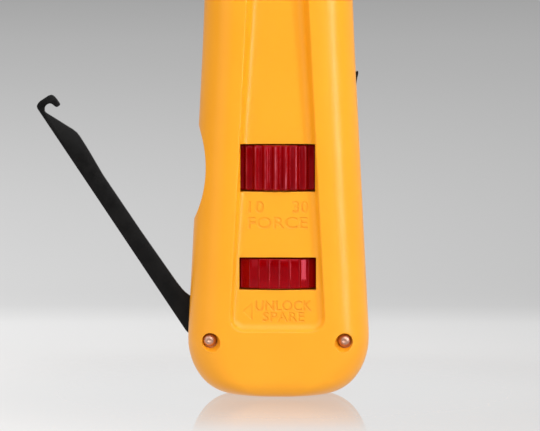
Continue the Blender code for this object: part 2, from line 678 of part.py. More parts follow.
# ---------------------------------------------------------------- blades
def build_blade(name, base, finish):
    """Twist-lock blade: round grooved shank, flat body and a forked punch end."""
    shank_end = base + SHANK_LENGTH
    groove = (base + 9.3 * MM, base + 11.9 * MM)
    profile = [(0.0, shank_end), (SHANK_RADIUS - 0.45 * MM, shank_end),
               (SHANK_RADIUS, shank_end - 0.4 * MM),
               (SHANK_RADIUS, groove[1]), (3.0 * MM, groove[1]), (3.0 * MM, groove[0]),
               (SHANK_RADIUS, groove[0]), (SHANK_RADIUS, base + 0.3 * MM),
               (SHANK_RADIUS - 0.3 * MM, base), (0.0, base)]
    blade = turned(name, profile, finish)
    slot = box(f"{name}_bayonet", (2.9 * MM, -1.15 * MM, base - 1 * MM),
               (6 * MM, 1.15 * MM, (groove[0] + groove[1]) / 2))
    boolean(blade, slot)
    wide, tip = BLADE_HALF_WIDTH, base + BLADE_LENGTH
    notch_low, notch_high = base + 23.9 * MM, base + 27.0 * MM
    start = shank_end - 1.0 * MM
    neck = 2.6 * MM
    right = [(wide, start), (wide, notch_low), (neck, notch_low + GAP), (neck, notch_high - GAP),
             (wide, notch_high), (wide, tip - 5.0 * MM), (2.4 * MM, tip - 2.6 * MM),
             (2.4 * MM, tip), (0.55 * MM, tip), (0.55 * MM, tip - 3.2 * MM)]
    outline = right + [(-x, z) for x, z in reversed(right)]
    body = flat(f"{name}_body", [outline], BLADE_HALF_DEPTH)
    return boolean(blade, body, "UNION")


def build_cutter(name, base):
    """Shear plate riveted on the cutting face of a blade."""
    tip = base + BLADE_LENGTH
    low = base + SHANK_LENGTH + 9.8 * MM
    outline = [(-2.3 * MM, low), (2.3 * MM, low), (2.3 * MM, tip - 0.4 * MM),
               (-2.3 * MM, tip + 0.6 * MM)]
    plate = flat(name, [outline], 0.35 * MM, STEEL)
    plate.location.y = -(BLADE_HALF_DEPTH + GAP + 0.35 * MM)
    return plate


def build_sleeve():
    return ring("storage_sleeve", *SLEEVE_RADII, *SLEEVE_Z, STEEL)


# ---------------------------------------------------------------- assembly
clear_scene()
TOOL = new_collection("punch_down_tool")
CUTTERS = new_collection("cutters")
YELLOW = make_material("yellow_plastic", (0.99, 0.46, 0.10), 0.42, 0.0)
RED = make_material("red_plastic", (0.42, 0.006, 0.016), 0.30, 0.0)
BLACK_STEEL = make_material("black_steel", (0.006, 0.005, 0.004), 0.40, 0.6)
STEEL = make_material("steel", (0.55, 0.52, 0.48), 0.28, 1.0)
SPRING_STEEL = make_material("spring_steel", (0.30, 0.30, 0.31), 0.35, 1.0)
BRASS = make_material("brass", (0.62, 0.45, 0.20), 0.32, 1.0)
BLADE_STEEL = make_material("blade_steel", (0.40, 0.40, 0.40), 0.30, 1.0)
BLACK_PLASTIC = make_material("black_plastic", (0.012, 0.012, 0.012), 0.45, 0.0)

build_shells()
build_rivet("hook_rivet", HOOK_PIVOT_X)
build_rivet("spudger_rivet", SPUDGER_PIVOT_X)
build_guard_screw("guard_screw_left", -GUARD_SCREW[0])
build_guard_screw("guard_screw_right", GUARD_SCREW[0])
build_washer("hook_friction_washer", HOOK_PIVOT_X)
build_washer("spudger_friction_washer", SPUDGER_PIVOT_X)
build_hook()
build_spudger()
build_impact_wheel()
build_release_wheel()
build_thrust_washer()
build_detent("impact", IMPACT_WINDOW[1])
build_detent("release", RELEASE_WINDOW[1])
build_preload_nut()
build_tube()
coil("main_spring", SPRING_RADIUS, SPRING_WIRE, *SPRING_Z, 10, SPRING_STEEL, per_turn=8)
build_hammer()
build_latch()
coil("latch_spring", 1.3 * MM, 0.22 * MM, LATCH_X[1] + GAP, 6.8 * MM, 3.5, SPRING_STEEL,
     per_turn=8, centre=(0.0, sum(LATCH_Z) / 2), axis="X")
build_plunger()
build_stem()
coil("return_spring", 4.3 * MM, 0.5 * MM, *RETURN_SPRING_Z, 4, SPRING_STEEL, per_turn=8)
build_bushing()
build_nose_cap()
rod("bayonet_pin", PIN_RADIUS, (3.35 * MM, 0, BAYONET_Z), (5.45 * MM, 0, BAYONET_Z), STEEL, 16)
build_blade("working_blade", BLADE_BASE, BLADE_STEEL)
build_cutter("working_blade_cutter", BLADE_BASE)
build_sleeve()
build_blade("spare_blade", SPARE_BASE, BLADE_STEEL)
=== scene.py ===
"""Looks of the impact punch down tool: fine surfaces, materials, floor, light and camera.

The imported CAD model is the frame. Everything here is in metres in its frame: +Z runs along the
tool from the butt to the blade, the face with the thumb wheels looks to -Y, +X is to its right.
"""
import json
import math

import bmesh
import bpy
import numpy as np
from mathutils import Matrix, Vector

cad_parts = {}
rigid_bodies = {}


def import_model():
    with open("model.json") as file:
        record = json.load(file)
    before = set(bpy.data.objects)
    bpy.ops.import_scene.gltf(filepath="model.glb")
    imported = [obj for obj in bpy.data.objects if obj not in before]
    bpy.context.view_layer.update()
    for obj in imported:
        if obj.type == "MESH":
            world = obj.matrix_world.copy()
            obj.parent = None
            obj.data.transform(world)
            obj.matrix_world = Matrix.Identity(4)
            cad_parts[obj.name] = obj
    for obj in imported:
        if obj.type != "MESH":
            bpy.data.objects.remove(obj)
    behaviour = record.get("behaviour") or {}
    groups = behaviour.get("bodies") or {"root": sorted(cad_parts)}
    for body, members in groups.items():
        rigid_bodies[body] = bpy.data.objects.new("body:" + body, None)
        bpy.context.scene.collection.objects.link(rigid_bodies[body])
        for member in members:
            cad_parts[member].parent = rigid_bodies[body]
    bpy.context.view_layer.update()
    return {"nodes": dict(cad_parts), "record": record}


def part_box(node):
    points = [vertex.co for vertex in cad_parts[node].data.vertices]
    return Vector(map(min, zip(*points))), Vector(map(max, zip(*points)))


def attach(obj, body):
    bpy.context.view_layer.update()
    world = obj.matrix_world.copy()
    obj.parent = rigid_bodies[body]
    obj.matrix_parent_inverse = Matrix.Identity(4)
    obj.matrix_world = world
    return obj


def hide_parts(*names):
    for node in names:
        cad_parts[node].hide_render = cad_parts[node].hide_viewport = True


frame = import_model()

MM = 0.001
GAP = 0.3 * MM                       # clearance that the CAD keeps between pieces

# ---------------------------------------------------------------- dimensions
SHELL_LOW, SHELL_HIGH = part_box("front_shell")
HALF_DEPTH = -SHELL_LOW.y
SHELL_TOP = SHELL_HIGH.z
PARTING = -SHELL_HIGH.y              # |y| of the face where the two shells meet

WIDEST = 18.94 * MM                  # half width before the sides start to taper
BUTT_FLAT_HALF = 8.0 * MM            # half width of the flat under the butt
BUTT_CORNER_HEIGHT = 13.0 * MM       # height where the butt's corners end, seen from the front
DEPTH_CORNER = 3.7 * MM              # the same, seen from the side
CORNER_POWER = 2.15                  # 2 would make the corners elliptical
TAPER = 0.0515                       # loss of half width per unit of height
TAPER_START = 10.5 * MM
TAPER_END = 70.0 * MM
EDGE_RADIUS = 8.0 * MM               # rounding of the long edges

# upper housing sections: height, half width, half depth, corner radius (mm)
UPPER_SECTIONS = (
    (70.0, 15.876, 13.0, 8.0),
    (84.0, 15.29, 13.0, 8.0),
    (96.0, 14.7, 12.5, 7.8),
    (104.0, 14.1, 12.05, 7.7),
    (111.0, 13.7, 11.8, 7.7),
    (118.0, 13.95, 11.9, 7.9),
    (124.0, 14.7, 12.2, 8.3),
    (129.0, 15.6, 12.6, 9.0),
    (133.5, 16.0, 12.9, 9.6),
    (137.5, 15.5, 12.7, 10.2),
    (141.0, 14.1, 12.2, 10.6),
    (144.0, 12.6, 11.6, 10.8),
    (147.0, 11.4, 11.1, 10.9),
    (150.0, 10.9, 10.9, 10.89),
    (152.0, 10.7, 10.7, 10.69),
)

PANEL_BOTTOM = 13.6 * MM
PANEL_TOP = 112.0 * MM
PANEL_HALF = 10.0 * MM               # half width of the panel near its bottom
PANEL_HALF_AT = 3.7 * MM             # height above the panel's bottom where that is measured
PANEL_TAPER = 0.0525
PANEL_CORNER = 3.3 * MM
PANEL_DEPTH = 1.15 * MM              # depth at the bottom, and how fast it deepens upwards
PANEL_DEEPENING = 0.0185
PANEL_DEPTH_LIMIT = 2.35 * MM
PANEL_LIP = 0.38 * MM                # rounding where the panel wall meets the face
PANEL_FILLET = 1.9 * MM              # rounding where it meets the panel floor, at the bottom
PANEL_FILLET_GROWTH = 0.012          # how fast that rounding grows upwards
PANEL_WALL_ANGLE = math.radians(56)
LEGEND_DEPTH = 0.15 * MM

IMPACT_WINDOW = (42.8 * MM, 52.7 * MM)      # lowest and highest edge
RELEASE_WINDOW = (22.45 * MM, 29.2 * MM)
IMPACT_WINDOW_HALF = 7.75 * MM
RELEASE_WINDOW_HALF = 7.95 * MM
IMPACT_TRUNNION = (40.1 * MM, 56.3 * MM)    # where the wheels' sleeves turn in the housing
RELEASE_TRUNNION = (20.3 * MM, 32.1 * MM)
IMPACT_RIM = (43.05 * MM, 52.45 * MM)       # lowest and highest face of each wheel's rim
RELEASE_RIM = (22.7 * MM, 28.9 * MM)
IMPACT_SLEEVE = (40.4 * MM, 55.4 * MM)
RELEASE_SLEEVE = (20.6 * MM, 31.2 * MM)
WHEEL_RADIUS = 12.3 * MM
WHEEL_RIM = WHEEL_RADIUS - 0.02 * MM        # radius over the ribs
SLEEVE_RADIUS = 6.5 * MM
IMPACT_BORE = 5.0 * MM
RELEASE_BORE = 4.9 * MM
RIB_DEPTH = 0.66 * MM
FACET_RIDGE = 0.16 * MM
FACET_RIDGE_REACH = 0.11                    # half width of a ridge, as a share of a facet
FLUTES = 36

PIVOT_Z = 11.45 * MM
PIVOT_X = 13.95 * MM
PIVOT_HOLE = 1.6 * MM
HOOK_OPEN = math.radians(33.9)
HOOK_LENGTH = 62.0 * MM
SPUDGER_LEAN = math.radians(0.7)
LEAF_HALF = 0.7 * MM                 # half the thickness of hook and spudger
LEAF_BEVEL = 0.12 * MM
TANG_RADIUS = 3.0 * MM               # rounding of both leaves about their pivots
SLOT_HALF = 1.05 * MM
RIVET_RECESS = 2.05 * MM
RIVET_SEAT = 10.45 * MM
RIVET_HEAD = 1.34 * MM
RIVET_HEIGHT = 0.95 * MM
RIVET_HOLE = 1.32 * MM
RIVET_DIMPLE = 0.16 * MM             # depth of the mark that the setting tool leaves
RIVET_SHIFT = (-0.14 * MM, 0.5 * MM)   # the set heads sit a little off their recesses
NOTCH_RADIUS = 24.0 * MM
NOTCH_CENTRE = (-38.95 * MM, 47.7 * MM)
GUARD_SCREW = (11.5 * MM, 133.0 * MM)
GUARD_SEAT = 6.3 * MM
GUARD_HEAD = 1.95 * MM               # height of the screw's head above its seat
GUARD_SHANK = 1.3 * MM

PASSAGE_RADIUS = 4.6 * MM            # bores along the axis, from the butt upwards
LINER_RADIUS = 5.7 * MM
NUT_RADIUS = 5.3 * MM
TUBE_RADIUS = 8.8 * MM
NOSE_RADIUS = 9.3 * MM
TRUNNION_RADIUS = 6.8 * MM
DETENT_RADIUS = 1.3 * MM
DETENT_Y = 9.4 * MM
SKIN = 2.4 * MM                      # wall beside the hollows in the sides
HOLLOWS = ((33.4, 38.4), (61.0, 76.0), (78.4, 93.0), (95.4, 109.0), (111.4, 126.0))   # heights, mm


# ---------------------------------------------------------------- mesh helpers
def link(name, mesh, material, body, stands_for, sharp=32.0):
    """Put a finished mesh in the scene on its CAD body, in place of its CAD node."""
    mesh.shade_smooth()
    mesh.set_sharp_from_angle(angle=math.radians(sharp))
    obj = bpy.data.objects.new(name, mesh)
    bpy.context.scene.collection.objects.link(obj)
    mesh.materials.clear()
    mesh.materials.append(material)
    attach(obj, body)
    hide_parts(*stands_for)


def bm_to_mesh(name, bm):
    """Turn a bmesh into a mesh with its faces looking outwards."""
    bmesh.ops.recalc_face_normals(bm, faces=bm.faces)
    mesh = bpy.data.meshes.new(name)
    bm.to_mesh(mesh)
    bm.free()
    return mesh


def tube_of_rings(name, rings, closed=False):
    """Faces between rings of equal length; the ends are capped unless it closes on itself."""
    bm = bmesh.new()
    rows = [[bm.verts.new(p) for p in ring] for ring in rings]
    pairs = list(zip(rows, rows[1:]))
    if closed:
        pairs.append((rows[-1], rows[0]))
    count = len(rows[0])
    for low, high in pairs:
        for i in range(count):
            j = (i + 1) % count
            bm.faces.new((low[i], low[j], high[j], high[i]))
    if not closed:
        bm.faces.new(list(reversed(rows[0])))
        bm.faces.new(rows[-1])
    return bm_to_mesh(name, bm)


def circle_ring(radius, z, count):
    """Points of a level circle about the tool's axis."""
    return [(radius * math.cos(2 * math.pi * i / count), radius * math.sin(2 * math.pi * i / count), z)
            for i in range(count)]


# ---------------------------------------------------------------- cutters
CUTTERS = bpy.data.collections.new("cutters")
bpy.context.scene.collection.children.link(CUTTERS)


def cutter(name, mesh, group):
    """Put a solid that will be cut away in the group."""
    obj = bpy.data.objects.new(name, mesh)
    group.objects.link(obj)
    obj.hide_render = True


def cut_box(name, low, high, group):
    bm = bmesh.new()
    bmesh.ops.create_cube(bm, size=1.0)
    low, high = Vector(low), Vector(high)
    bmesh.ops.scale(bm, vec=high - low, verts=bm.verts)
    bmesh.ops.translate(bm, vec=(low + high) / 2, verts=bm.verts)
    cutter(name, bm_to_mesh(name, bm), group)


def cut_rod(name, radius, start, end, group, segments=48, end_radius=None):
    """A rod from start to end, or a cone where its end has another radius."""
    start, end = Vector(start), Vector(end)
    turn = (end - start).to_track_quat("Z", "Y").to_matrix().to_4x4()
    bm = bmesh.new()
    bmesh.ops.create_cone(bm, cap_ends=True, segments=segments, radius1=radius,
                          radius2=radius if end_radius is None else end_radius,
                          depth=(end - start).length,
                          matrix=Matrix.Translation((start + end) / 2) @ turn)
    cutter(name, bm_to_mesh(name, bm), group)


def difference(mesh, group, name):
    """The mesh less everything in the group of cutters."""
    obj = bpy.data.objects.new(name, mesh)
    bpy.context.scene.collection.objects.link(obj)
    modifier = obj.modifiers.new("cuts", "BOOLEAN")
    modifier.operation = "DIFFERENCE"
    modifier.solver = "MANIFOLD"
    modifier.operand_type = "COLLECTION"
    modifier.collection = group
    depsgraph = bpy.context.evaluated_depsgraph_get()
    result = bpy.data.meshes.new_from_object(obj.evaluated_get(depsgraph))
    bpy.data.objects.remove(obj, do_unlink=True)
    result.name = name
    return result


def clear_cutters(group):
    for obj in list(group.objects):
        bpy.data.objects.remove(obj, do_unlink=True)
    bpy.data.collections.remove(group)


# ---------------------------------------------------------------- housing form
def half_width(z):
    """Half width of the lower housing at height z."""
    side = WIDEST - TAPER * max(0.0, z - TAPER_START)
    if z >= BUTT_CORNER_HEIGHT:
        return side
    share = ((BUTT_CORNER_HEIGHT - z) / BUTT_CORNER_HEIGHT) ** CORNER_POWER
    return BUTT_FLAT_HALF + (side - BUTT_FLAT_HALF) * (1.0 - share) ** (1.0 / CORNER_POWER)


def half_depth(z):
    """Half depth of the lower housing at height z."""
    if z >= DEPTH_CORNER:
        return HALF_DEPTH
    share = ((DEPTH_CORNER - z) / DEPTH_CORNER) ** CORNER_POWER
    return HALF_DEPTH - DEPTH_CORNER + DEPTH_CORNER * (1.0 - share) ** (1.0 / CORNER_POWER)


def section(z):
    """Half width, half depth and corner radius of the housing at height z."""
    if z <= TAPER_END:
        deep = half_depth(z)
        return half_width(z), deep, min(EDGE_RADIUS, 0.96 * deep)
    heights = [row[0] * MM for row in UPPER_SECTIONS]
    values = np.array([row[1:] for row in UPPER_SECTIONS]) * MM
    slopes = np.gradient(values, heights, axis=0)
    slopes[0] = (-TAPER, 0.0, 0.0)
    i = min(max(int(np.searchsorted(heights, z)) - 1, 0), len(heights) - 2)
    span = heights[i + 1] - heights[i]
    t = (z - heights[i]) / span
    a, b = 2 * t ** 3 - 3 * t ** 2 + 1, -2 * t ** 3 + 3 * t ** 2
    c, d = (t ** 3 - 2 * t ** 2 + t) * span, (t ** 3 - t ** 2) * span
    wide, deep, radius = a * values[i] + b * values[i + 1] + c * slopes[i] + d * slopes[i + 1]
    return wide, deep, min(radius, deep - 0.01 * MM)


def panel_half(z):
    return PANEL_HALF - PANEL_TAPER * (z - PANEL_BOTTOM - PANEL_HALF_AT)


def panel_floor_depth(z):
    return min(PANEL_DEPTH + PANEL_DEEPENING * max(0.0, z - PANEL_BOTTOM), PANEL_DEPTH_LIMIT)


def panel_depth(x, z):
    """How far the face is sunk at (x, z): lip, sloping wall and fillet down to the floor."""
    side = panel_half(z) - abs(x)
    end = min(z - PANEL_BOTTOM, PANEL_TOP - z)
    inside = min(side, end)
    if side < PANEL_CORNER and end < PANEL_CORNER:
        inside = PANEL_CORNER - math.hypot(PANEL_CORNER - side, PANEL_CORNER - end)
    if inside <= 0.0:
        return 0.0
    floor = panel_floor_depth(z)
    sine, cosine = math.sin(PANEL_WALL_ANGLE), math.cos(PANEL_WALL_ANGLE)
    fillet = PANEL_FILLET + PANEL_FILLET_GROWTH * max(0.0, z - PANEL_BOTTOM)
    straight = max(0.0, floor - (PANEL_LIP + fillet) * (1.0 - cosine))
    lip_end = PANEL_LIP * sine
    wall_end = lip_end + straight / math.tan(PANEL_WALL_ANGLE)
    total = wall_end + fillet * sine
    if inside < lip_end:
        return PANEL_LIP - math.sqrt(PANEL_LIP ** 2 - inside ** 2)
    if inside < wall_end:
        return PANEL_LIP * (1.0 - cosine) + (inside - lip_end) * math.tan(PANEL_WALL_ANGLE)
    if inside < total:
        return floor - fillet + math.sqrt(fillet ** 2 - (total - inside) ** 2)
    return floor


PANEL_STEPS = [s * MM for s in (0.0, 0.08, 0.16, 0.24, 0.32, 0.42, 0.55, 0.7, 0.85, 1.0, 1.15, 1.3, 1.5,
                                1.7, 1.9, 2.15, 2.4, 2.7, 3.0, 3.4)]


def housing_heights():
    """Heights of the rows of the housing surface, close together where it curves."""
    butt = [BUTT_CORNER_HEIGHT * (i / 22) ** 2 for i in range(22)]
    low = [PANEL_BOTTOM + s for s in PANEL_STEPS]
    high = [PANEL_TOP - s for s in reversed(PANEL_STEPS)]
    middle = list(np.arange(low[-1] + 1.2 * MM, high[0] - 0.6 * MM, 1.2 * MM))
    top = list(np.arange(PANEL_TOP + 0.8 * MM, SHELL_TOP - 0.4 * MM, 0.8 * MM))
    above_butt = [BUTT_CORNER_HEIGHT, BUTT_CORNER_HEIGHT + 0.5 * MM]
    return butt + above_butt + low + middle + high + top + [SHELL_TOP]


def half_contour(z, side):
    """One shell's outline at height z, from the right parting edge round to the left one."""
    wide, deep, radius = section(z)
    corner_x, corner_y = wide - radius, deep - radius
    edge = 0.2 * MM
    right = [(wide - edge, PARTING), (wide - 0.3 * edge, PARTING + 0.3 * edge), (wide, PARTING + edge)]
    start = PARTING + 1.4 * edge
    for i in range(5):
        right.append((wide, start + (max(corner_y, start + 0.01 * MM) - start) * i / 4))
    for i in range(1, 17):
        angle = math.pi / 2 * i / 16
        right.append((corner_x + radius * math.cos(angle), corner_y + radius * math.sin(angle)))
    half = min(panel_half(z), corner_x - 0.1 * MM)
    for share in (0.7, 0.35):
        right.append((half + (corner_x - half) * share, deep))
    reach = max(half - 1.2 * MM, half * 0.55)
    scale = min(1.0, reach / PANEL_STEPS[-1])
    for step in PANEL_STEPS:
        right.append((half - step * scale, deep))
    last = half - PANEL_STEPS[-1] * scale
    for i in range(1, 9):
        right.append((last * (1 - i / 9), deep))
    points = right + [(0.0, deep)] + [(-x, y) for x, y in reversed(right)]
    flat_from = len(right) - 8 - len(PANEL_STEPS) - 2
    ring = []
    for i, (x, y) in enumerate(points):
        if flat_from <= i < len(points) - flat_from:
            y -= panel_depth(x, z)
        ring.append((x, side * y, z))
    return ring


def hollow_section(z):
    """Corners of the hollow that is left inside the housing at height z."""
    wide = (half_width(z) if z <= TAPER_END else 13.7 * MM) - SKIN
    return [(wide, 8.0 * MM, z), (-wide, 8.0 * MM, z), (-wide, -8.0 * MM, z), (wide, -8.0 * MM, z)]


def shared_cuts(group):
    """Bores, windows, slots and recesses that both shells share."""
    cut_rod("cut_blade_passage", PASSAGE_RADIUS, (0, 0, -1 * MM), (0, 0, 39.4 * MM), group)
    cut_rod("cut_blade_mouth", 5.2 * MM, (0, 0, -0.2 * MM), (0, 0, 0.5 * MM), group, end_radius=4.5 * MM)
    cut_rod("cut_sleeve", LINER_RADIUS, (0, 0, 2.0 * MM), (0, 0, 20.5 * MM), group)
    for name, zone, half, trunnion in (
            ("impact", IMPACT_WINDOW, IMPACT_WINDOW_HALF, IMPACT_TRUNNION),
            ("release", RELEASE_WINDOW, RELEASE_WINDOW_HALF, RELEASE_TRUNNION)):
        cut_rod(f"cut_{name}_pocket", WHEEL_RADIUS + GAP, (0, 0, zone[0]), (0, 0, zone[1]), group, 96)
        cut_rod(f"cut_{name}_trunnion", TRUNNION_RADIUS, (0, 0, trunnion[0]), (0, 0, trunnion[1]), group)
        cut_box(f"cut_{name}_window", (-half, -16 * MM, zone[0]), (half, 16 * MM, zone[1]), group)
        cut_rod(f"cut_{name}_detent", DETENT_RADIUS, (0, DETENT_Y, zone[1] - 0.1 * MM),
                (0, DETENT_Y, zone[1] + 4.0 * MM), group, 24)
    cut_rod("cut_nut", NUT_RADIUS, (0, 0, 39.0 * MM), (0, 0, 60.0 * MM), group)
    cut_rod("cut_tube", TUBE_RADIUS, (0, 0, 57.9 * MM), (0, 0, 146.3 * MM), group, 64)
    cut_rod("cut_nose", NOSE_RADIUS, (0, 0, 146.0 * MM), (0, 0, 153.0 * MM), group, 64)
    cut_rod("cut_finger_notch", NOTCH_RADIUS, (NOTCH_CENTRE[0], -20 * MM, NOTCH_CENTRE[1]),
            (NOTCH_CENTRE[0], 20 * MM, NOTCH_CENTRE[1]), group, 240)
    for name, side in (("hook", -1), ("spudger", 1)):
        x = side * PIVOT_X
        inner, outer = sorted((x - side * 3.4 * MM, side * 26.0 * MM))
        cut_box(f"cut_{name}_slot", (inner, -SLOT_HALF, PIVOT_Z - 4.2 * MM),
                (outer, SLOT_HALF, PIVOT_Z + HOOK_LENGTH + 1.6 * MM), group)
        cut_rod(f"cut_{name}_pocket", 3.9 * MM, (x, -1.75 * MM, PIVOT_Z), (x, 1.75 * MM, PIVOT_Z), group)
        reach = RIVET_SEAT + 0.05 * MM
        cut_rod(f"cut_{name}_rivet", RIVET_HOLE, (x, -reach, PIVOT_Z), (x, reach, PIVOT_Z), group)
        for face in (-1, 1):
            cut_rod(f"cut_{name}_recess_{face + 1}", RIVET_HEAD + 0.1 * MM,
                    (x + RIVET_SHIFT[0], face * RIVET_SEAT, PIVOT_Z + RIVET_SHIFT[1]),
                    (x, face * (HALF_DEPTH + 0.3 * MM), PIVOT_Z), group, 64,
                    end_radius=RIVET_RECESS + 0.15 * MM)
    for name, side in (("left", -1), ("right", 1)):
        inner, outer = sorted((side * 6.9 * MM, side * 9.6 * MM))
        cut_box(f"cut_butt_hollow_{name}", (inner, -9.6 * MM, 5.0 * MM), (outer, 9.6 * MM, 18.6 * MM), group)
    for low, high in HOLLOWS:
        mesh = tube_of_rings("hollow", [hollow_section(low * MM), hollow_section(high * MM)])
        cutter(f"cut_hollow_{int(low)}", mesh, group)


def engrave(text, low, high, group, name):
    """A cutter for a word in the panel floor, stretched to fill the box from low to high."""
    curve = bpy.data.curves.new(name, "FONT")
    curve.body = text
    curve.space_character = 1.05
    curve.resolution_u = 3
    curve.extrude = 1.0
    curve.offset = 0.012
    guide = bpy.data.objects.new(name, curve)
    group.objects.link(guide)
    depsgraph = bpy.context.evaluated_depsgraph_get()
    mesh = bpy.data.meshes.new_from_object(guide.evaluated_get(depsgraph))
    bpy.data.objects.remove(guide, do_unlink=True)
    bm = bmesh.new()
    bm.from_mesh(mesh)
    bmesh.ops.remove_doubles(bm, verts=bm.verts, dist=1e-5)
    spans = [(min(v.co[i] for v in bm.verts), max(v.co[i] for v in bm.verts)) for i in range(2)]
    scales = [(high[i] - low[i]) / (spans[i][1] - spans[i][0]) for i in range(2)]
    face = -(HALF_DEPTH - panel_floor_depth((low[1] + high[1]) / 2))
    for vert in bm.verts:
        x = low[0] + (vert.co.x - spans[0][0]) * scales[0]
        z = low[1] + (vert.co.y - spans[1][0]) * scales[1]
        vert.co = (x, face + (LEGEND_DEPTH if vert.co.z < 0.0 else -1.0 * MM), z)
    cutter(name, bm_to_mesh(name, bm), group)


def engrave_triangle(corners, group, name):
    """A cutter for a flat arrowhead in the panel floor."""
    face = -(HALF_DEPTH - panel_floor_depth(corners[0][1]))
    rings = [[(x, y, z) for x, z in corners] for y in (face - 1.5 * MM, face + LEGEND_DEPTH)]
    cutter(name, tube_of_rings(name, rings), group)


def front_cuts(group):
    """Plain legends beside the wheels: each word and the corners of its box in mm."""
    words = (("10", (-6.1, 38.4), (-2.9, 40.85)), ("30", (3.1, 38.4), (6.3, 40.85)),
             ("FORCE", (-6.15, 35.15), (6.15, 37.55)), ("UNLOCK", (-4.6, 18.1), (7.0, 20.25)),
             ("SPARE", (-3.1, 15.85), (5.5, 17.85)))
    for word, low, high in words:
        engrave(word, Vector(low) * MM, Vector(high) * MM, group, f"cut_word_{word.lower()}")
    engrave_triangle([(-5.3 * MM, 16.2 * MM), (-5.3 * MM, 19.8 * MM), (-7.2 * MM, 18.0 * MM)],
                     group, "cut_arrow")


def build_shell(side, name, material):
    """One moulded half of the housing; side is -1 for the front half and 1 for the rear."""
    rings = [half_contour(z, side) for z in housing_heights()]
    if side > 0:
        rings = [list(reversed(ring)) for ring in rings]
    solid = tube_of_rings(name, rings)
    group = bpy.data.collections.new(f"{name}_cuts")
    CUTTERS.children.link(group)
    shared_cuts(group)
    x, z = GUARD_SCREW
    for turn in (-1, 1):
        cut_rod(f"cut_guard_hole_{turn + 1}", 1.6 * MM, (turn * x, -14 * MM, z),
                (turn * x, 8.3 * MM, z), group, 24)
        if side < 0:
            cut_rod(f"cut_guard_seat_{turn + 1}", 2.45 * MM, (turn * x, -16 * MM, z),
                    (turn * x, -GUARD_SEAT, z), group)
    if side < 0:
        front_cuts(group)
    mesh = difference(solid, group, name)
    clear_cutters(group)
    link(f"{name}_moulding", mesh, material, "housing", [name], 30.0)


# ---------------------------------------------------------------- thumb wheels
def ribbed_radius(turn, radius, depth):
    """Wavy ribs with broad crests and narrower valleys; turn 0 is a crest."""
    return radius - depth * (0.5 - 0.5 * math.cos(2 * math.pi * turn)) ** 1.25


def faceted_radius(turn, radius, ridge):
    """Flat facets with a thin ridge along each edge between them."""
    phase = (turn + 0.5) % 1.0 - 0.5
    angle = (0.5 - abs(phase)) * 2 * math.pi / FLUTES
    flat = (radius - ridge) * math.cos(math.pi / FLUTES) / math.cos(angle)
    near = max(0.0, 1.0 - abs(phase) / FACET_RIDGE_REACH)
    return flat + ridge * near * near * (3.0 - 2.0 * near)


RIB_SAMPLES = tuple(i / 18 - 0.5 for i in range(18))
FACET_SAMPLES = (-0.5, -0.3, -0.11, -0.08, -0.05, -0.025, 0.0, 0.025, 0.05, 0.08, 0.11, 0.3)


def wheel_mesh(name, rim, samples, middle, heights, sleeve, bore, chamfer):
    """A wheel with a shaped rim on a sleeve; middle is the angle of one rib's middle."""
    angles = [middle + 2 * math.pi * (rib + s) / FLUTES for rib in range(FLUTES) for s in samples]
    turns = [s for rib in range(FLUTES) for s in samples]

    def ring(radius, z):
        return [(radius * math.cos(a), radius * math.sin(a), z) for a in angles]

    def rim_ring(inset, z):
        return [((rim(t) - inset) * math.cos(a), (rim(t) - inset) * math.sin(a), z)
                for a, t in zip(angles, turns)]

    (low, high), (bottom, top) = heights, sleeve
    outer = SLEEVE_RADIUS
    small = 0.3 * MM                 # chamfer of the sleeve's edges
    rings = [ring(bore, bottom + small), ring(bore + small, bottom), ring(outer - small, bottom),
             ring(outer, bottom + small), ring(outer, low), ring(outer + 1.5 * MM, low),
             ring(WHEEL_RADIUS - 2.2 * MM, low)]
    for i in range(4):
        angle = math.pi / 2 * i / 3
        rings.append(rim_ring(chamfer * (1 - math.sin(angle)), low + chamfer * (1 - math.cos(angle))))
    for share in (0.33, 0.67):
        rings.append(rim_ring(0.0, low + (high - low) * share))
    for i in range(4):
        angle = math.pi / 2 * (1 - i / 3)
        rings.append(rim_ring(chamfer * (1 - math.sin(angle)), high - chamfer * (1 - math.cos(angle))))
    rings += [ring(WHEEL_RADIUS - 2.2 * MM, high), ring(outer + 1.5 * MM, high), ring(outer, high),
              ring(outer, top - small), ring(outer - small, top), ring(bore + small, top),
              ring(bore, top - small)]
    return tube_of_rings(name, rings, closed=True)


def build_impact_wheel(material):
    """The upper thumb wheel, with wavy ribs."""
    mesh = wheel_mesh("impact_wheel_ribbed", lambda t: ribbed_radius(t, WHEEL_RIM, RIB_DEPTH),
                      RIB_SAMPLES, math.radians(268.0), IMPACT_RIM, IMPACT_SLEEVE, IMPACT_BORE,
                      chamfer=0.4 * MM)
    link("impact_wheel_ribbed", mesh, material, "impact_wheel", ["impact_wheel"], 40.0)


def build_release_wheel(material):
    """The lower thumb wheel, with flat facets, and the two lugs in its bore."""
    mesh = wheel_mesh("release_wheel_faceted", lambda t: faceted_radius(t, WHEEL_RIM, FACET_RIDGE),
                      FACET_SAMPLES, math.radians(271.7), RELEASE_RIM, RELEASE_SLEEVE, RELEASE_BORE,
                      chamfer=0.25 * MM)
    bm = bmesh.new()
    bm.from_mesh(mesh)
    for side in (-1, 1):
        ends = sorted((side * 3.1 * MM, side * 5.2 * MM))
        lug = bmesh.ops.create_cube(bm, size=1.0)["verts"]
        low, high = Vector((-1.0 * MM, ends[0], 24.9 * MM)), Vector((1.0 * MM, ends[1], 26.6 * MM))
        bmesh.ops.scale(bm, vec=high - low, verts=lug)
        bmesh.ops.translate(bm, vec=(low + high) / 2, verts=lug)
    bm.to_mesh(mesh)
    bm.free()
    link("release_wheel_faceted", mesh, material, "release_wheel", ["release_wheel"],
         40.0)


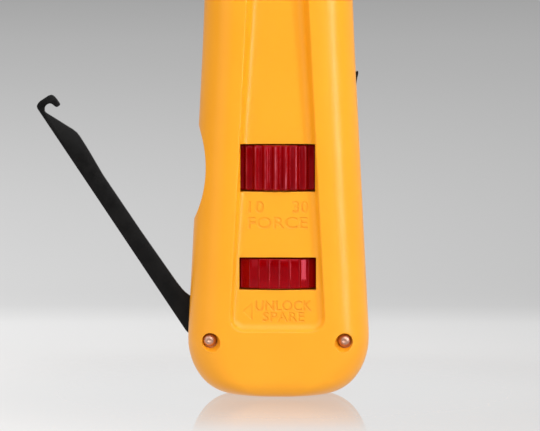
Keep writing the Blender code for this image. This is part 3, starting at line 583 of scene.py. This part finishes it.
# ---------------------------------------------------------------- leaves
def arc_points(radius, first, last, steps):
    """Points about the pivot from the first angle to the last, in degrees."""
    return [(radius * math.cos(math.radians(first + (last - first) * i / steps)),
             radius * math.sin(math.radians(first + (last - first) * i / steps)))
            for i in range(steps + 1)]


def leaf_mesh(name, outlines, pivot, lean):
    """A flat leaf with rounded edges; outlines are (x, z) loops, the first with holes after it."""
    curve = bpy.data.curves.new(name, "CURVE")
    curve.dimensions = "2D"
    curve.fill_mode = "BOTH"
    curve.extrude = LEAF_HALF
    for outline in outlines:
        spline = curve.splines.new("POLY")
        spline.points.add(len(outline) - 1)
        for point, (x, z) in zip(spline.points, outline):
            point.co = (x, z, 0.0, 1.0)
        spline.use_cyclic_u = True
    guide = bpy.data.objects.new(name, curve)
    bpy.context.scene.collection.objects.link(guide)
    depsgraph = bpy.context.evaluated_depsgraph_get()
    mesh = bpy.data.meshes.new_from_object(guide.evaluated_get(depsgraph))
    bpy.data.objects.remove(guide, do_unlink=True)
    bm = bmesh.new()
    bm.from_mesh(mesh)
    bmesh.ops.remove_doubles(bm, verts=bm.verts, dist=1e-7)
    rims = [e for e in bm.edges if len(e.link_faces) == 2 and e.calc_face_angle(0.0) > math.radians(60)
            and abs(e.verts[0].co.z - e.verts[1].co.z) < 1e-6]
    bmesh.ops.bevel(bm, geom=rims, offset=LEAF_BEVEL, offset_type="OFFSET", segments=2, profile=0.5,
                    affect="EDGES")
    bm.transform(Matrix.Rotation(math.pi / 2, 4, "X"))
    bm.transform(Matrix.Translation(pivot) @ Matrix.Rotation(-lean, 4, "Y"))
    return bm_to_mesh(name, bm)


def circle(radius, count=32):
    return arc_points(radius, 0.0, 360.0 * (count - 1) / count, count - 1)


def build_hook(material):
    """Wire hook: tang round the pivot, straight leaf and a curled end with a small barb."""
    outline = arc_points(TANG_RADIUS, 178.0, 387.0, 24)
    for across, along in ((1.7, 8.6), (0.9, 10.05), (0.58, 11.0), (0.4, 11.92), (0.25, 13.84),
                          (0.02, 26.9), (0.0, 41.1), (0.35, 46.4), (0.45, 48.5), (0.5, 50.6), (0.42, 51.55),
                          (0.08, 52.6), (-2.52, 58.4), (-2.65, 58.79), (-2.6, 59.12), (-2.4, 59.45),
                          (-2.15, 59.7), (-1.8, 59.84), (-1.33, 59.88), (-0.95, 59.78), (-0.68, 59.6),
                          (-0.5, 59.3), (-0.38, 58.88), (-0.24, 58.5), (-0.06, 58.3), (0.28, 58.22),
                          (0.63, 58.27), (0.79, 58.38), (0.86, 58.6), (0.86, 59.6), (0.8, 60.25),
                          (0.66, 60.75), (0.38, 61.1), (-0.23, 61.28), (-2.25, 61.3), (-2.8, 61.17),
                          (-3.27, 60.95), (-3.5, 60.68), (-3.62, 60.2), (-3.7, 36.2), (-3.82, 4.4)):
        outline.append((across * MM, along * MM))
    mesh = leaf_mesh("wire_hook_leaf", [outline, circle(PIVOT_HOLE)], (-PIVOT_X, 0.0, PIVOT_Z), HOOK_OPEN)
    link("wire_hook_leaf", mesh, material, "hook", ["wire_hook"])


def build_spudger(material):
    """Spudger: tang round the pivot and a long leaf with a slanted tip."""
    outline = arc_points(TANG_RADIUS, 160.0, 360.0, 24)
    for across, along in ((3.05, 4.5), (2.9, 34.0), (2.7, 50.0), (2.75, 51.6), (2.9, 53.4), (3.1, 54.6),
                          (3.3, 55.3), (3.3, 55.75), (3.15, 55.98), (2.7, 55.75), (2.1, 55.2), (1.35, 54.1),
                          (0.6, 52.6), (0.0, 50.6), (-0.45, 48.0), (-0.5, 16.0), (-0.6, 12.6), (-0.75, 11.2),
                          (-1.1, 10.2), (-1.7, 9.2)):
        outline.append((across * MM, along * MM))
    mesh = leaf_mesh("spudger_leaf", [outline, circle(PIVOT_HOLE)], (PIVOT_X, 0.0, PIVOT_Z), SPUDGER_LEAN)
    link("spudger_leaf", mesh, material, "spudger", ["spudger"])


# ---------------------------------------------------------------- rivets and screws
def turned_mesh(name, profile, count=48):
    """A profile of (radius, height) turned about Z; a radius of 0 closes it."""
    bm = bmesh.new()
    rows = []
    for radius, z in profile:
        if radius < 1e-9:
            rows.append([bm.verts.new((0.0, 0.0, z))])
        else:
            rows.append([bm.verts.new(p) for p in circle_ring(radius, z, count)])
    for low, high in zip(rows, rows[1:]):
        for i in range(count):
            j = (i + 1) % count
            corners = []
            for vert in (low[i % len(low)], low[j % len(low)], high[j % len(high)], high[i % len(high)]):
                if vert not in corners:
                    corners.append(vert)
            bm.faces.new(corners)
    return bm_to_mesh(name, bm)


def build_rivet(name, x, material):
    """Headed rivet: a dome with the shallow dimple of its setting tool at each end."""
    seat = RIVET_SEAT + GAP
    radius, height = RIVET_HEAD, RIVET_HEIGHT
    end = [(0.0, seat + height - RIVET_DIMPLE), (0.2 * MM, seat + height - 0.13 * MM),
           (0.32 * MM, seat + height - 0.04 * MM), (0.42 * MM, seat + height)]
    for degrees in range(18, 91, 6):
        angle = math.radians(degrees)
        end.append((radius * math.sin(angle), seat + 0.05 * MM + (height - 0.02 * MM) * math.cos(angle)))
    end += [(radius, seat), (1.1 * MM, seat), (1.1 * MM, seat - 0.1 * MM), (1.25 * MM, seat - 0.2 * MM)]
    profile = end + [(r, -z) for r, z in reversed(end)]
    mesh = turned_mesh(name, profile)
    mesh.transform(Matrix.Translation((x, 0.0, PIVOT_Z)) @ Matrix.Rotation(math.pi / 2, 4, "X"))
    for vert in mesh.vertices:
        if abs(vert.co.y) > seat - 0.01 * MM:
            vert.co.x += RIVET_SHIFT[0]
            vert.co.z += RIVET_SHIFT[1]
    link(f"{name}_domed", mesh, material, "housing", [name], 50.0)


def build_guard_screw(name, x, material):
    """Pan head screw with a cross recess."""
    seat = GUARD_SEAT + GAP
    profile = [(0.0, seat + GUARD_HEAD)]
    for share in (0.2, 0.4, 0.6, 0.8, 0.92):
        profile.append((2.05 * MM * share, seat + GUARD_HEAD - 0.7 * MM * share ** 3))
    profile += [(2.1 * MM, seat + 1.0 * MM), (2.1 * MM, seat + 0.1 * MM), (2.0 * MM, seat),
                (GUARD_SHANK, seat), (GUARD_SHANK, -6.8 * MM), (0.6 * MM, -8.0 * MM), (0.0, -8.0 * MM)]
    mesh = turned_mesh(name, profile)
    mesh.transform(Matrix.Translation((x, 0.0, GUARD_SCREW[1])) @ Matrix.Rotation(math.pi / 2, 4, "X"))
    group = bpy.data.collections.new(f"{name}_cuts")
    CUTTERS.children.link(group)
    for long, across in ((1.25, 0.28), (0.28, 1.25)):
        cut_box(f"{name}_cross_{long}", (x - long * MM, -12 * MM, GUARD_SCREW[1] - across * MM),
                (x + long * MM, -seat - 0.9 * MM, GUARD_SCREW[1] + across * MM), group)
    mesh = difference(mesh, group, name)
    clear_cutters(group)
    link(f"{name}_pan_head", mesh, material, "housing", [name])


# ---------------------------------------------------------------- material helpers
def node(tree, kind, inputs=None, **settings):
    """Add a node; inputs maps a socket's name or number to a value or to another socket."""
    made = tree.nodes.new(kind)
    for key, value in settings.items():
        setattr(made, key, value)
    for key, value in (inputs or {}).items():
        if isinstance(value, bpy.types.NodeSocket):
            tree.links.new(value, made.inputs[key])
        else:
            made.inputs[key].default_value = value
    return made


def new_material(name):
    """A new material with its node tree and its Principled shader."""
    material = bpy.data.materials.new(name)
    material.use_nodes = True
    tree = material.node_tree
    return material, tree, tree.nodes["Principled BSDF"]


def place(tree, stretch=(1.0, 1.0, 1.0)):
    """Object coordinates in metres, stretched along the axes."""
    coordinates = node(tree, "ShaderNodeTexCoord").outputs["Object"]
    return node(tree, "ShaderNodeMapping", {"Vector": coordinates, "Scale": stretch}).outputs[0]


def noise(tree, where, scale, detail=2.0, rough=0.5):
    return node(tree, "ShaderNodeTexNoise",
                {"Vector": where, "Scale": scale, "Detail": detail, "Roughness": rough}).outputs[0]


def spread(tree, value, low, high, to_low=0.0, to_high=1.0):
    """Map a value from one range to another, clamped."""
    return node(tree, "ShaderNodeMapRange", {"Value": value, "From Min": low, "From Max": high,
                                             "To Min": to_low, "To Max": to_high}).outputs[0]


def mix(tree, factor, first, second):
    """Blend two colours; each is a colour or a socket."""
    made = node(tree, "ShaderNodeMix", {0: factor}, data_type="RGBA")
    for key, value in ((6, first), (7, second)):
        if isinstance(value, bpy.types.NodeSocket):
            tree.links.new(value, made.inputs[key])
        else:
            made.inputs[key].default_value = (*value, 1.0)
    return made.outputs[2]


def bump(tree, height, strength, distance, normal=None):
    made = node(tree, "ShaderNodeBump", {"Height": height, "Strength": strength, "Distance": distance})
    if normal is not None:
        tree.links.new(normal, made.inputs["Normal"])
    return made.outputs[0]


def math_node(tree, kind, first, second):
    return node(tree, "ShaderNodeMath", {0: first, 1: second}, operation=kind).outputs[0]


def multiply(tree, first, second):
    return math_node(tree, "MULTIPLY", first, second)


def distance_from_origin(tree, where, weights):
    """Length of a position once its axes are weighted."""
    weighted = node(tree, "ShaderNodeVectorMath", {0: where, 1: weights}, operation="MULTIPLY")
    return node(tree, "ShaderNodeVectorMath", {0: weighted.outputs[0]}, operation="LENGTH").outputs["Value"]


# ---------------------------------------------------------------- materials
def moulded_plastic(name, colour, shade, roughness, grain):
    """Satin moulded plastic: slight colour drift, fine grain, faint handling marks."""
    material, tree, shader = new_material(name)
    where = place(tree)
    drift = noise(tree, where, 70.0, 3.0)
    tone = mix(tree, spread(tree, drift, 0.35, 0.65), colour, shade)
    tree.links.new(tone, shader.inputs["Base Color"])
    marks = noise(tree, place(tree, (1.0, 1.0, 0.25)), 900.0, 4.0, 0.6)
    rough = spread(tree, marks, 0.4, 0.75, roughness, roughness + 0.07)
    tree.links.new(rough, shader.inputs["Roughness"])
    edge = node(tree, "ShaderNodeBevel", {"Radius": 0.22 * MM}, samples=6)
    fine = noise(tree, where, 5200.0, 2.0, 0.6)
    tree.links.new(bump(tree, fine, grain, 0.02 * MM, edge.outputs[0]), shader.inputs["Normal"])
    shader.inputs["Specular IOR Level"].default_value = 0.4
    return material


def red_plastic(name):
    """Glossy deep red plastic with a painted highlight along the rib crests, fine scratches and a few chips.
    """
    material, tree, shader = new_material(name)
    where = place(tree)
    drift = noise(tree, where, 160.0, 3.0)
    tone = mix(tree, spread(tree, drift, 0.3, 0.7), (0.29, 0.0, 0.001), (0.21, 0.0, 0.0008))
    scratch = spread(tree, noise(tree, place(tree, (3.0, 3.0, 0.3)), 1700.0, 5.0, 0.7), 0.66, 0.78)
    chips = spread(tree, noise(tree, place(tree, (1.0, 1.0, 0.6)), 1100.0, 6.0, 0.75), 0.74, 0.79)
    surface_tone = mix(tree, multiply(tree, scratch, 0.05), tone, (0.55, 0.06, 0.08))
    surface_tone = mix(tree, multiply(tree, chips, 0.45), surface_tone, (0.75, 0.35, 0.36))
    # painted highlight: pale pink streaks along the rib crests stand in for the light's reflection there
    radius = distance_from_origin(tree, where, (1.0, 1.0, 0.0))
    crest = spread(tree, radius, WHEEL_RADIUS - 0.05 * MM, WHEEL_RADIUS - 0.015 * MM)
    streaks = noise(tree, place(tree, (1.0, 1.0, 0.12)), 800.0, 4.0, 0.6)
    streaks = spread(tree, streaks, 0.38, 0.62, 0.15, 1.0)
    uneven = spread(tree, noise(tree, where, 330.0, 1.0), 0.38, 0.6, 0.25, 0.7)
    edge_wear_and_crest_highlight = multiply(tree, multiply(tree, crest, streaks), uneven)
    surface_tone = mix(tree, edge_wear_and_crest_highlight, surface_tone, (0.66, 0.13, 0.17))
    tree.links.new(surface_tone, shader.inputs["Base Color"])
    tree.links.new(spread(tree, scratch, 0.0, 1.0, 0.10, 0.28), shader.inputs["Roughness"])
    fine = noise(tree, place(tree, (1.0, 1.0, 0.3)), 2600.0, 3.0, 0.6)
    tree.links.new(bump(tree, fine, 0.06, 0.03 * MM), shader.inputs["Normal"])
    shader.inputs["Specular IOR Level"].default_value = 0.55
    shader.inputs["Specular Tint"].default_value = (1.0, 0.16, 0.24, 1.0)
    return material


def black_oxide(name):
    """Blackened spring steel: dark, slightly mottled, a little bare along its edges."""
    material, tree, shader = new_material(name)
    where = place(tree)
    mottle = noise(tree, where, 420.0, 4.0, 0.6)
    tone = mix(tree, spread(tree, mottle, 0.35, 0.7), (0.0018, 0.0015, 0.0014), (0.0045, 0.004, 0.0038))
    geometry = node(tree, "ShaderNodeNewGeometry")
    edge_wear_and_crest_highlight = spread(tree, geometry.outputs["Pointiness"], 0.56, 0.66)
    patchy = multiply(tree, edge_wear_and_crest_highlight, spread(tree, noise(tree, where, 700.0, 3.0), 0.45, 0.6))
    surface_tone = mix(tree, multiply(tree, patchy, 0.35), tone, (0.16, 0.15, 0.14))
    tree.links.new(surface_tone, shader.inputs["Base Color"])
    tree.links.new(spread(tree, mottle, 0.3, 0.7, 0.34, 0.5), shader.inputs["Roughness"])
    grain = noise(tree, place(tree, (1.0, 1.0, 0.2)), 3000.0, 3.0)
    tree.links.new(bump(tree, grain, 0.15, 0.02 * MM), shader.inputs["Normal"])
    shader.inputs["Specular IOR Level"].default_value = 0.16
    return material


def metal(name, colour, shade, roughness, stretch=(1.0, 1.0, 1.0)):
    """Bare metal with fine machining marks, uneven polish and slight tarnish."""
    material, tree, shader = new_material(name)
    shader.inputs["Metallic"].default_value = 1.0
    where = place(tree)
    tarnish = noise(tree, where, 260.0, 4.0, 0.6)
    tree.links.new(mix(tree, spread(tree, tarnish, 0.35, 0.7), colour, shade), shader.inputs["Base Color"])
    marks = noise(tree, place(tree, stretch), 2600.0, 4.0, 0.65)
    tree.links.new(spread(tree, marks, 0.3, 0.7, roughness, roughness + 0.14), shader.inputs["Roughness"])
    tree.links.new(bump(tree, marks, 0.12, 0.02 * MM), shader.inputs["Normal"])
    return material


YELLOW = moulded_plastic("yellow_plastic_look", (0.97, 0.385, 0.012), (0.955, 0.372, 0.010), 0.31, 0.10)
RED = red_plastic("red_plastic_look")
BLACK_STEEL = black_oxide("black_steel_look")
STEEL = metal("steel_look", (0.62, 0.58, 0.54), (0.50, 0.46, 0.42), 0.2)
# painted reflection: the peach tint of the rivet steel stands in for the orange recess reflected in the
# heads
RIVET_STEEL_PAINTED_REFLECTION = metal("rivet_steel_painted_reflection_look", (0.66, 0.40, 0.30), (0.52, 0.29, 0.21), 0.30)
SPRING_STEEL = metal("spring_steel_look", (0.36, 0.36, 0.37), (0.27, 0.26, 0.25), 0.28)
BRASS = metal("brass_look", (0.68, 0.49, 0.20), (0.55, 0.37, 0.15), 0.24, (4.0, 4.0, 0.3))
BLADE_STEEL = metal("blade_steel_look", (0.50, 0.50, 0.51), (0.38, 0.38, 0.38), 0.24, (0.3, 4.0, 4.0))
BLACK_PLASTIC = moulded_plastic("black_plastic_look", (0.014, 0.014, 0.014), (0.010, 0.010, 0.011),
                                0.40, 0.25)

LOOKS = {"yellow_plastic": YELLOW, "red_plastic": RED, "black_steel": BLACK_STEEL, "steel": STEEL,
         "spring_steel": SPRING_STEEL, "brass": BRASS, "blade_steel": BLADE_STEEL,
         "black_plastic": BLACK_PLASTIC}

for subpart in frame["record"]["subparts"]:
    mesh = frame["nodes"][subpart["node"]].data
    mesh.materials.clear()
    mesh.materials.append(LOOKS[subpart["material_slot"]])

build_shell(-1, "front_shell", YELLOW)
build_shell(1, "rear_shell", YELLOW)
build_impact_wheel(RED)
build_release_wheel(RED)
build_hook(BLACK_STEEL)
build_spudger(BLACK_STEEL)
build_rivet("hook_rivet", -PIVOT_X, RIVET_STEEL_PAINTED_REFLECTION)
build_rivet("spudger_rivet", PIVOT_X, RIVET_STEEL_PAINTED_REFLECTION)
build_guard_screw("guard_screw_left", -GUARD_SCREW[0], STEEL)
build_guard_screw("guard_screw_right", GUARD_SCREW[0], STEEL)


# ---------------------------------------------------------------- floor, light and camera
FLOOR_DROP = 0.2 * MM                # the floor lies a little under the butt
GLOW_NEAR, GLOW_FAR = 0.95, 0.45     # share of the floor's tone that is its own light
GLOW_ZONE = (30 * MM, 90 * MM)       # distances from the axis between which that share falls
# distance from the object in metres, and the grey of the floor there; its fall with distance is painted
# shade
FLOOR_TONES = ((0.10, 0.76), (0.147, 0.742), (0.158, 0.731), (0.170, 0.698), (0.186, 0.66),
               (0.204, 0.619), (0.24, 0.604), (0.60, 0.599), (1.0, 0.592), (1.4, 0.584), (2.5, 0.56),
               (4.1, 0.506), (10.0, 0.404))
# the same, and how strongly that grey changes from left to right, a painted shade darker towards the right
FLOOR_SIDE_SHADE_SLANTS = ((0.1, 0.075), (0.3, 0.095), (0.6, 0.080), (1.2, 0.054), (2.5, 0.027), (4.0, 0.013))
# that change fans out from a point this many metres in front of the tool, about where the camera is
FAN_START = 0.9
FAN_NEAREST = 0.3                    # the fan gets no narrower than it is this far from that point
FAN_SLOPE, FAN_LIMIT = 17.0, 1.3     # how fast the change grows sideways, and where it stops
# painted shade: the floor darkens towards the front and the left
DIM_ZONE = (-0.5, -0.17)             # towards the front and the left the floor darkens between these
DIM_TONE = 0.6


def tone_ramp(tree, value, steps):
    """Grey as a function of a value between 0 and 1."""
    ramp = node(tree, "ShaderNodeValToRGB", {"Fac": value})
    elements = ramp.color_ramp.elements
    while len(elements) < len(steps):
        elements.new(0.5)
    for element, (position, tone) in zip(elements, steps):
        element.position = position
        element.color = (tone, tone, tone, 1.0)
    return ramp.outputs["Color"]


def floor_tone_with_painted_shade(tree, where):
    """Pale near the object, a soft step where the table ends, then darker with distance, towards the right,
    the front and the left: painted shade in the floor's grey.
    """
    axes = node(tree, "ShaderNodeSeparateXYZ", {0: where})
    across, away = axes.outputs["X"], axes.outputs["Y"]
    reach = distance_from_origin(tree, where, (0.35, 1.0, 0.0))
    share = spread(tree, math_node(tree, "LOGARITHM", reach, 10.0), -1.0, 1.0)
    tone, slant = (
        tone_ramp(tree, share, [((math.log10(metres) + 1.0) / 2.0, grey) for metres, grey in steps])
        for steps in (FLOOR_TONES, FLOOR_SIDE_SHADE_SLANTS))
    fan_distance = math_node(tree, "MAXIMUM", math_node(tree, "ADD", away, FAN_START), FAN_NEAREST)
    sweep = multiply(tree, math_node(tree, "DIVIDE", across, fan_distance), FAN_SLOPE)
    sweep = spread(tree, sweep, -FAN_LIMIT, FAN_LIMIT, FAN_LIMIT, -FAN_LIMIT)
    sideways = math_node(tree, "ADD", multiply(tree, sweep, slant), 1.0)
    inward = math_node(tree, "ADD", away, math_node(tree, "MINIMUM", across, 0.0))
    lit = spread(tree, inward, *DIM_ZONE, DIM_TONE, 1.0)
    shade = multiply(tree, sideways, lit)
    return node(tree, "ShaderNodeVectorMath", {0: tone, 1: shade}, operation="MULTIPLY").outputs[0]


def build_floor():
    """Pale glossy floor that darkens with distance, so that it also makes the backdrop; that darkening is
    painted shade.
    """
    bm = bmesh.new()
    bmesh.ops.create_grid(bm, x_segments=2, y_segments=2, size=40.0)
    floor = bpy.data.objects.new("floor", bm_to_mesh("floor", bm))
    bpy.context.scene.collection.objects.link(floor)
    floor.location.z = -FLOOR_DROP
    material = bpy.data.materials.new("floor_look")
    material.use_nodes = True
    tree = material.node_tree
    tree.nodes.remove(tree.nodes["Principled BSDF"])
    where = node(tree, "ShaderNodeTexCoord").outputs["Object"]
    tone = floor_tone_with_painted_shade(tree, where)
    lit = node(tree, "ShaderNodeBsdfDiffuse", {"Color": tone})
    glow = node(tree, "ShaderNodeEmission", {"Color": tone, "Strength": 0.95})
    distance = node(tree, "ShaderNodeVectorMath", {0: where}, operation="LENGTH").outputs["Value"]
    share = spread(tree, distance, *GLOW_ZONE, GLOW_NEAR, GLOW_FAR)
    matt = node(tree, "ShaderNodeMixShader", {0: share, 1: lit.outputs[0], 2: glow.outputs[0]})
    gloss = node(tree, "ShaderNodeBsdfGlossy", {"Color": (1.0, 1.0, 1.0, 1.0), "Roughness": 0.012})
    facing = node(tree, "ShaderNodeLayerWeight", {"Blend": 0.5}).outputs["Facing"]
    mirror = multiply(tree, math_node(tree, "POWER", facing, 9.0), 1.35)
    fade = tone_ramp(tree, spread(tree, distance, 0.0, 0.1),
                     ((0.0, 1.0), (0.20, 1.0), (0.34, 0.86), (0.50, 0.62), (0.64, 0.27), (0.78, 0.0)))
    both = node(tree, "ShaderNodeMixShader", {0: multiply(tree, mirror, fade), 1: matt.outputs[0],
                                              2: gloss.outputs[0]})
    tree.links.new(both.outputs[0], tree.nodes["Material Output"].inputs["Surface"])
    floor.data.materials.append(material)
    return floor


def build_world():
    """Soft surroundings: pale overhead, a light band low behind, dim low in front."""
    world = bpy.data.worlds.new("studio")
    bpy.context.scene.world = world
    world.use_nodes = True
    tree = world.node_tree
    background = tree.nodes["Background"]
    direction = node(tree, "ShaderNodeTexCoord").outputs["Generated"]
    axes = node(tree, "ShaderNodeSeparateXYZ", {0: direction})
    height = spread(tree, axes.outputs["Z"], 0.0, 1.0)
    behind = tone_ramp(tree, height, ((0.0, 0.33), (0.055, 0.33), (0.085, 0.83), (0.20, 0.80),
                                      (0.32, 0.58), (1.0, 0.58)))
    before = tone_ramp(tree, height, ((0.0, 0.06), (0.12, 0.08), (0.35, 0.58), (1.0, 0.58)))
    both = mix(tree, spread(tree, axes.outputs["Y"], -0.1, 0.35), before, behind)
    across = spread(tree, axes.outputs["X"], -1.0, 1.0, 0.8, 1.2)
    side = node(tree, "ShaderNodeVectorMath", {0: both, 1: across}, operation="MULTIPLY")
    tree.links.new(side.outputs[0], background.inputs["Color"])
    background.inputs["Strength"].default_value = 1.0


def softbox(name, azimuth, elevation, distance, size, power, height=60 * MM, beam=180.0):
    """Area light facing a point on the object's axis; azimuth 0 is in front and 90 on the right."""
    light = bpy.data.lights.new(name, "AREA")
    light.shape = "RECTANGLE"
    light.size, light.size_y = size
    light.energy = power
    light.spread = math.radians(beam)
    obj = bpy.data.objects.new(name, light)
    bpy.context.scene.collection.objects.link(obj)
    a, e = math.radians(azimuth), math.radians(elevation)
    back = Vector((math.sin(a) * math.cos(e), -math.cos(a) * math.cos(e), math.sin(e)))
    obj.location = Vector((0.0, 0.0, height)) + back * distance
    obj.rotation_mode = "QUATERNION"
    obj.rotation_quaternion = back.to_track_quat("Z", "Y")
    obj.visible_camera = False
    return obj


def spare_from_light(light, obj):
    """The light lights and shows in everything but this one object."""
    group = bpy.data.collections.new(f"{light.name}_not_on")
    group.objects.link(obj)
    group.collection_objects[0].light_linking.link_state = "EXCLUDE"
    light.light_linking.receiver_collection = group


def build_camera():
    """About half way up the tool, a little to its right, looking slightly down."""
    aim = Vector((-1.885 * MM, 0.0, 37.1 * MM))
    azimuth, elevation, distance = math.radians(1.5), math.radians(3.997), 0.9022
    back = Vector((math.sin(azimuth) * math.cos(elevation), -math.cos(azimuth) * math.cos(elevation),
                   math.sin(elevation)))
    data = bpy.data.cameras.new("camera")
    data.sensor_width = 36.0
    data.lens = 287.07
    data.clip_start, data.clip_end = 0.01, 100.0
    camera = bpy.data.objects.new("camera", data)
    bpy.context.scene.collection.objects.link(camera)
    camera.location = aim + back * distance
    camera.rotation_mode = "QUATERNION"
    camera.rotation_quaternion = back.to_track_quat("Z", "Y")
    bpy.context.scene.camera = camera


floor = build_floor()
build_world()
softbox("key_front", azimuth=22, elevation=30, distance=1.6, size=(1.3, 1.3), power=12.4)
strip = softbox("strip_right", azimuth=54.5, elevation=0, distance=0.24, size=(0.034, 0.28), power=0.052,
                height=138 * MM, beam=70.0)
softbox("fill_left", azimuth=-50, elevation=20, distance=1.5, size=(1.0, 1.4), power=4.9)
softbox("overhead", azimuth=0, elevation=82, distance=1.4, size=(1.6, 1.6), power=9.5)
spare_from_light(strip, floor)
build_camera()

view = bpy.context.scene.view_settings
view.view_transform = "Standard"
view.look = "None"
view.exposure = 0.0
view.gamma = 1.0

bpy.data.collections.remove(CUTTERS)
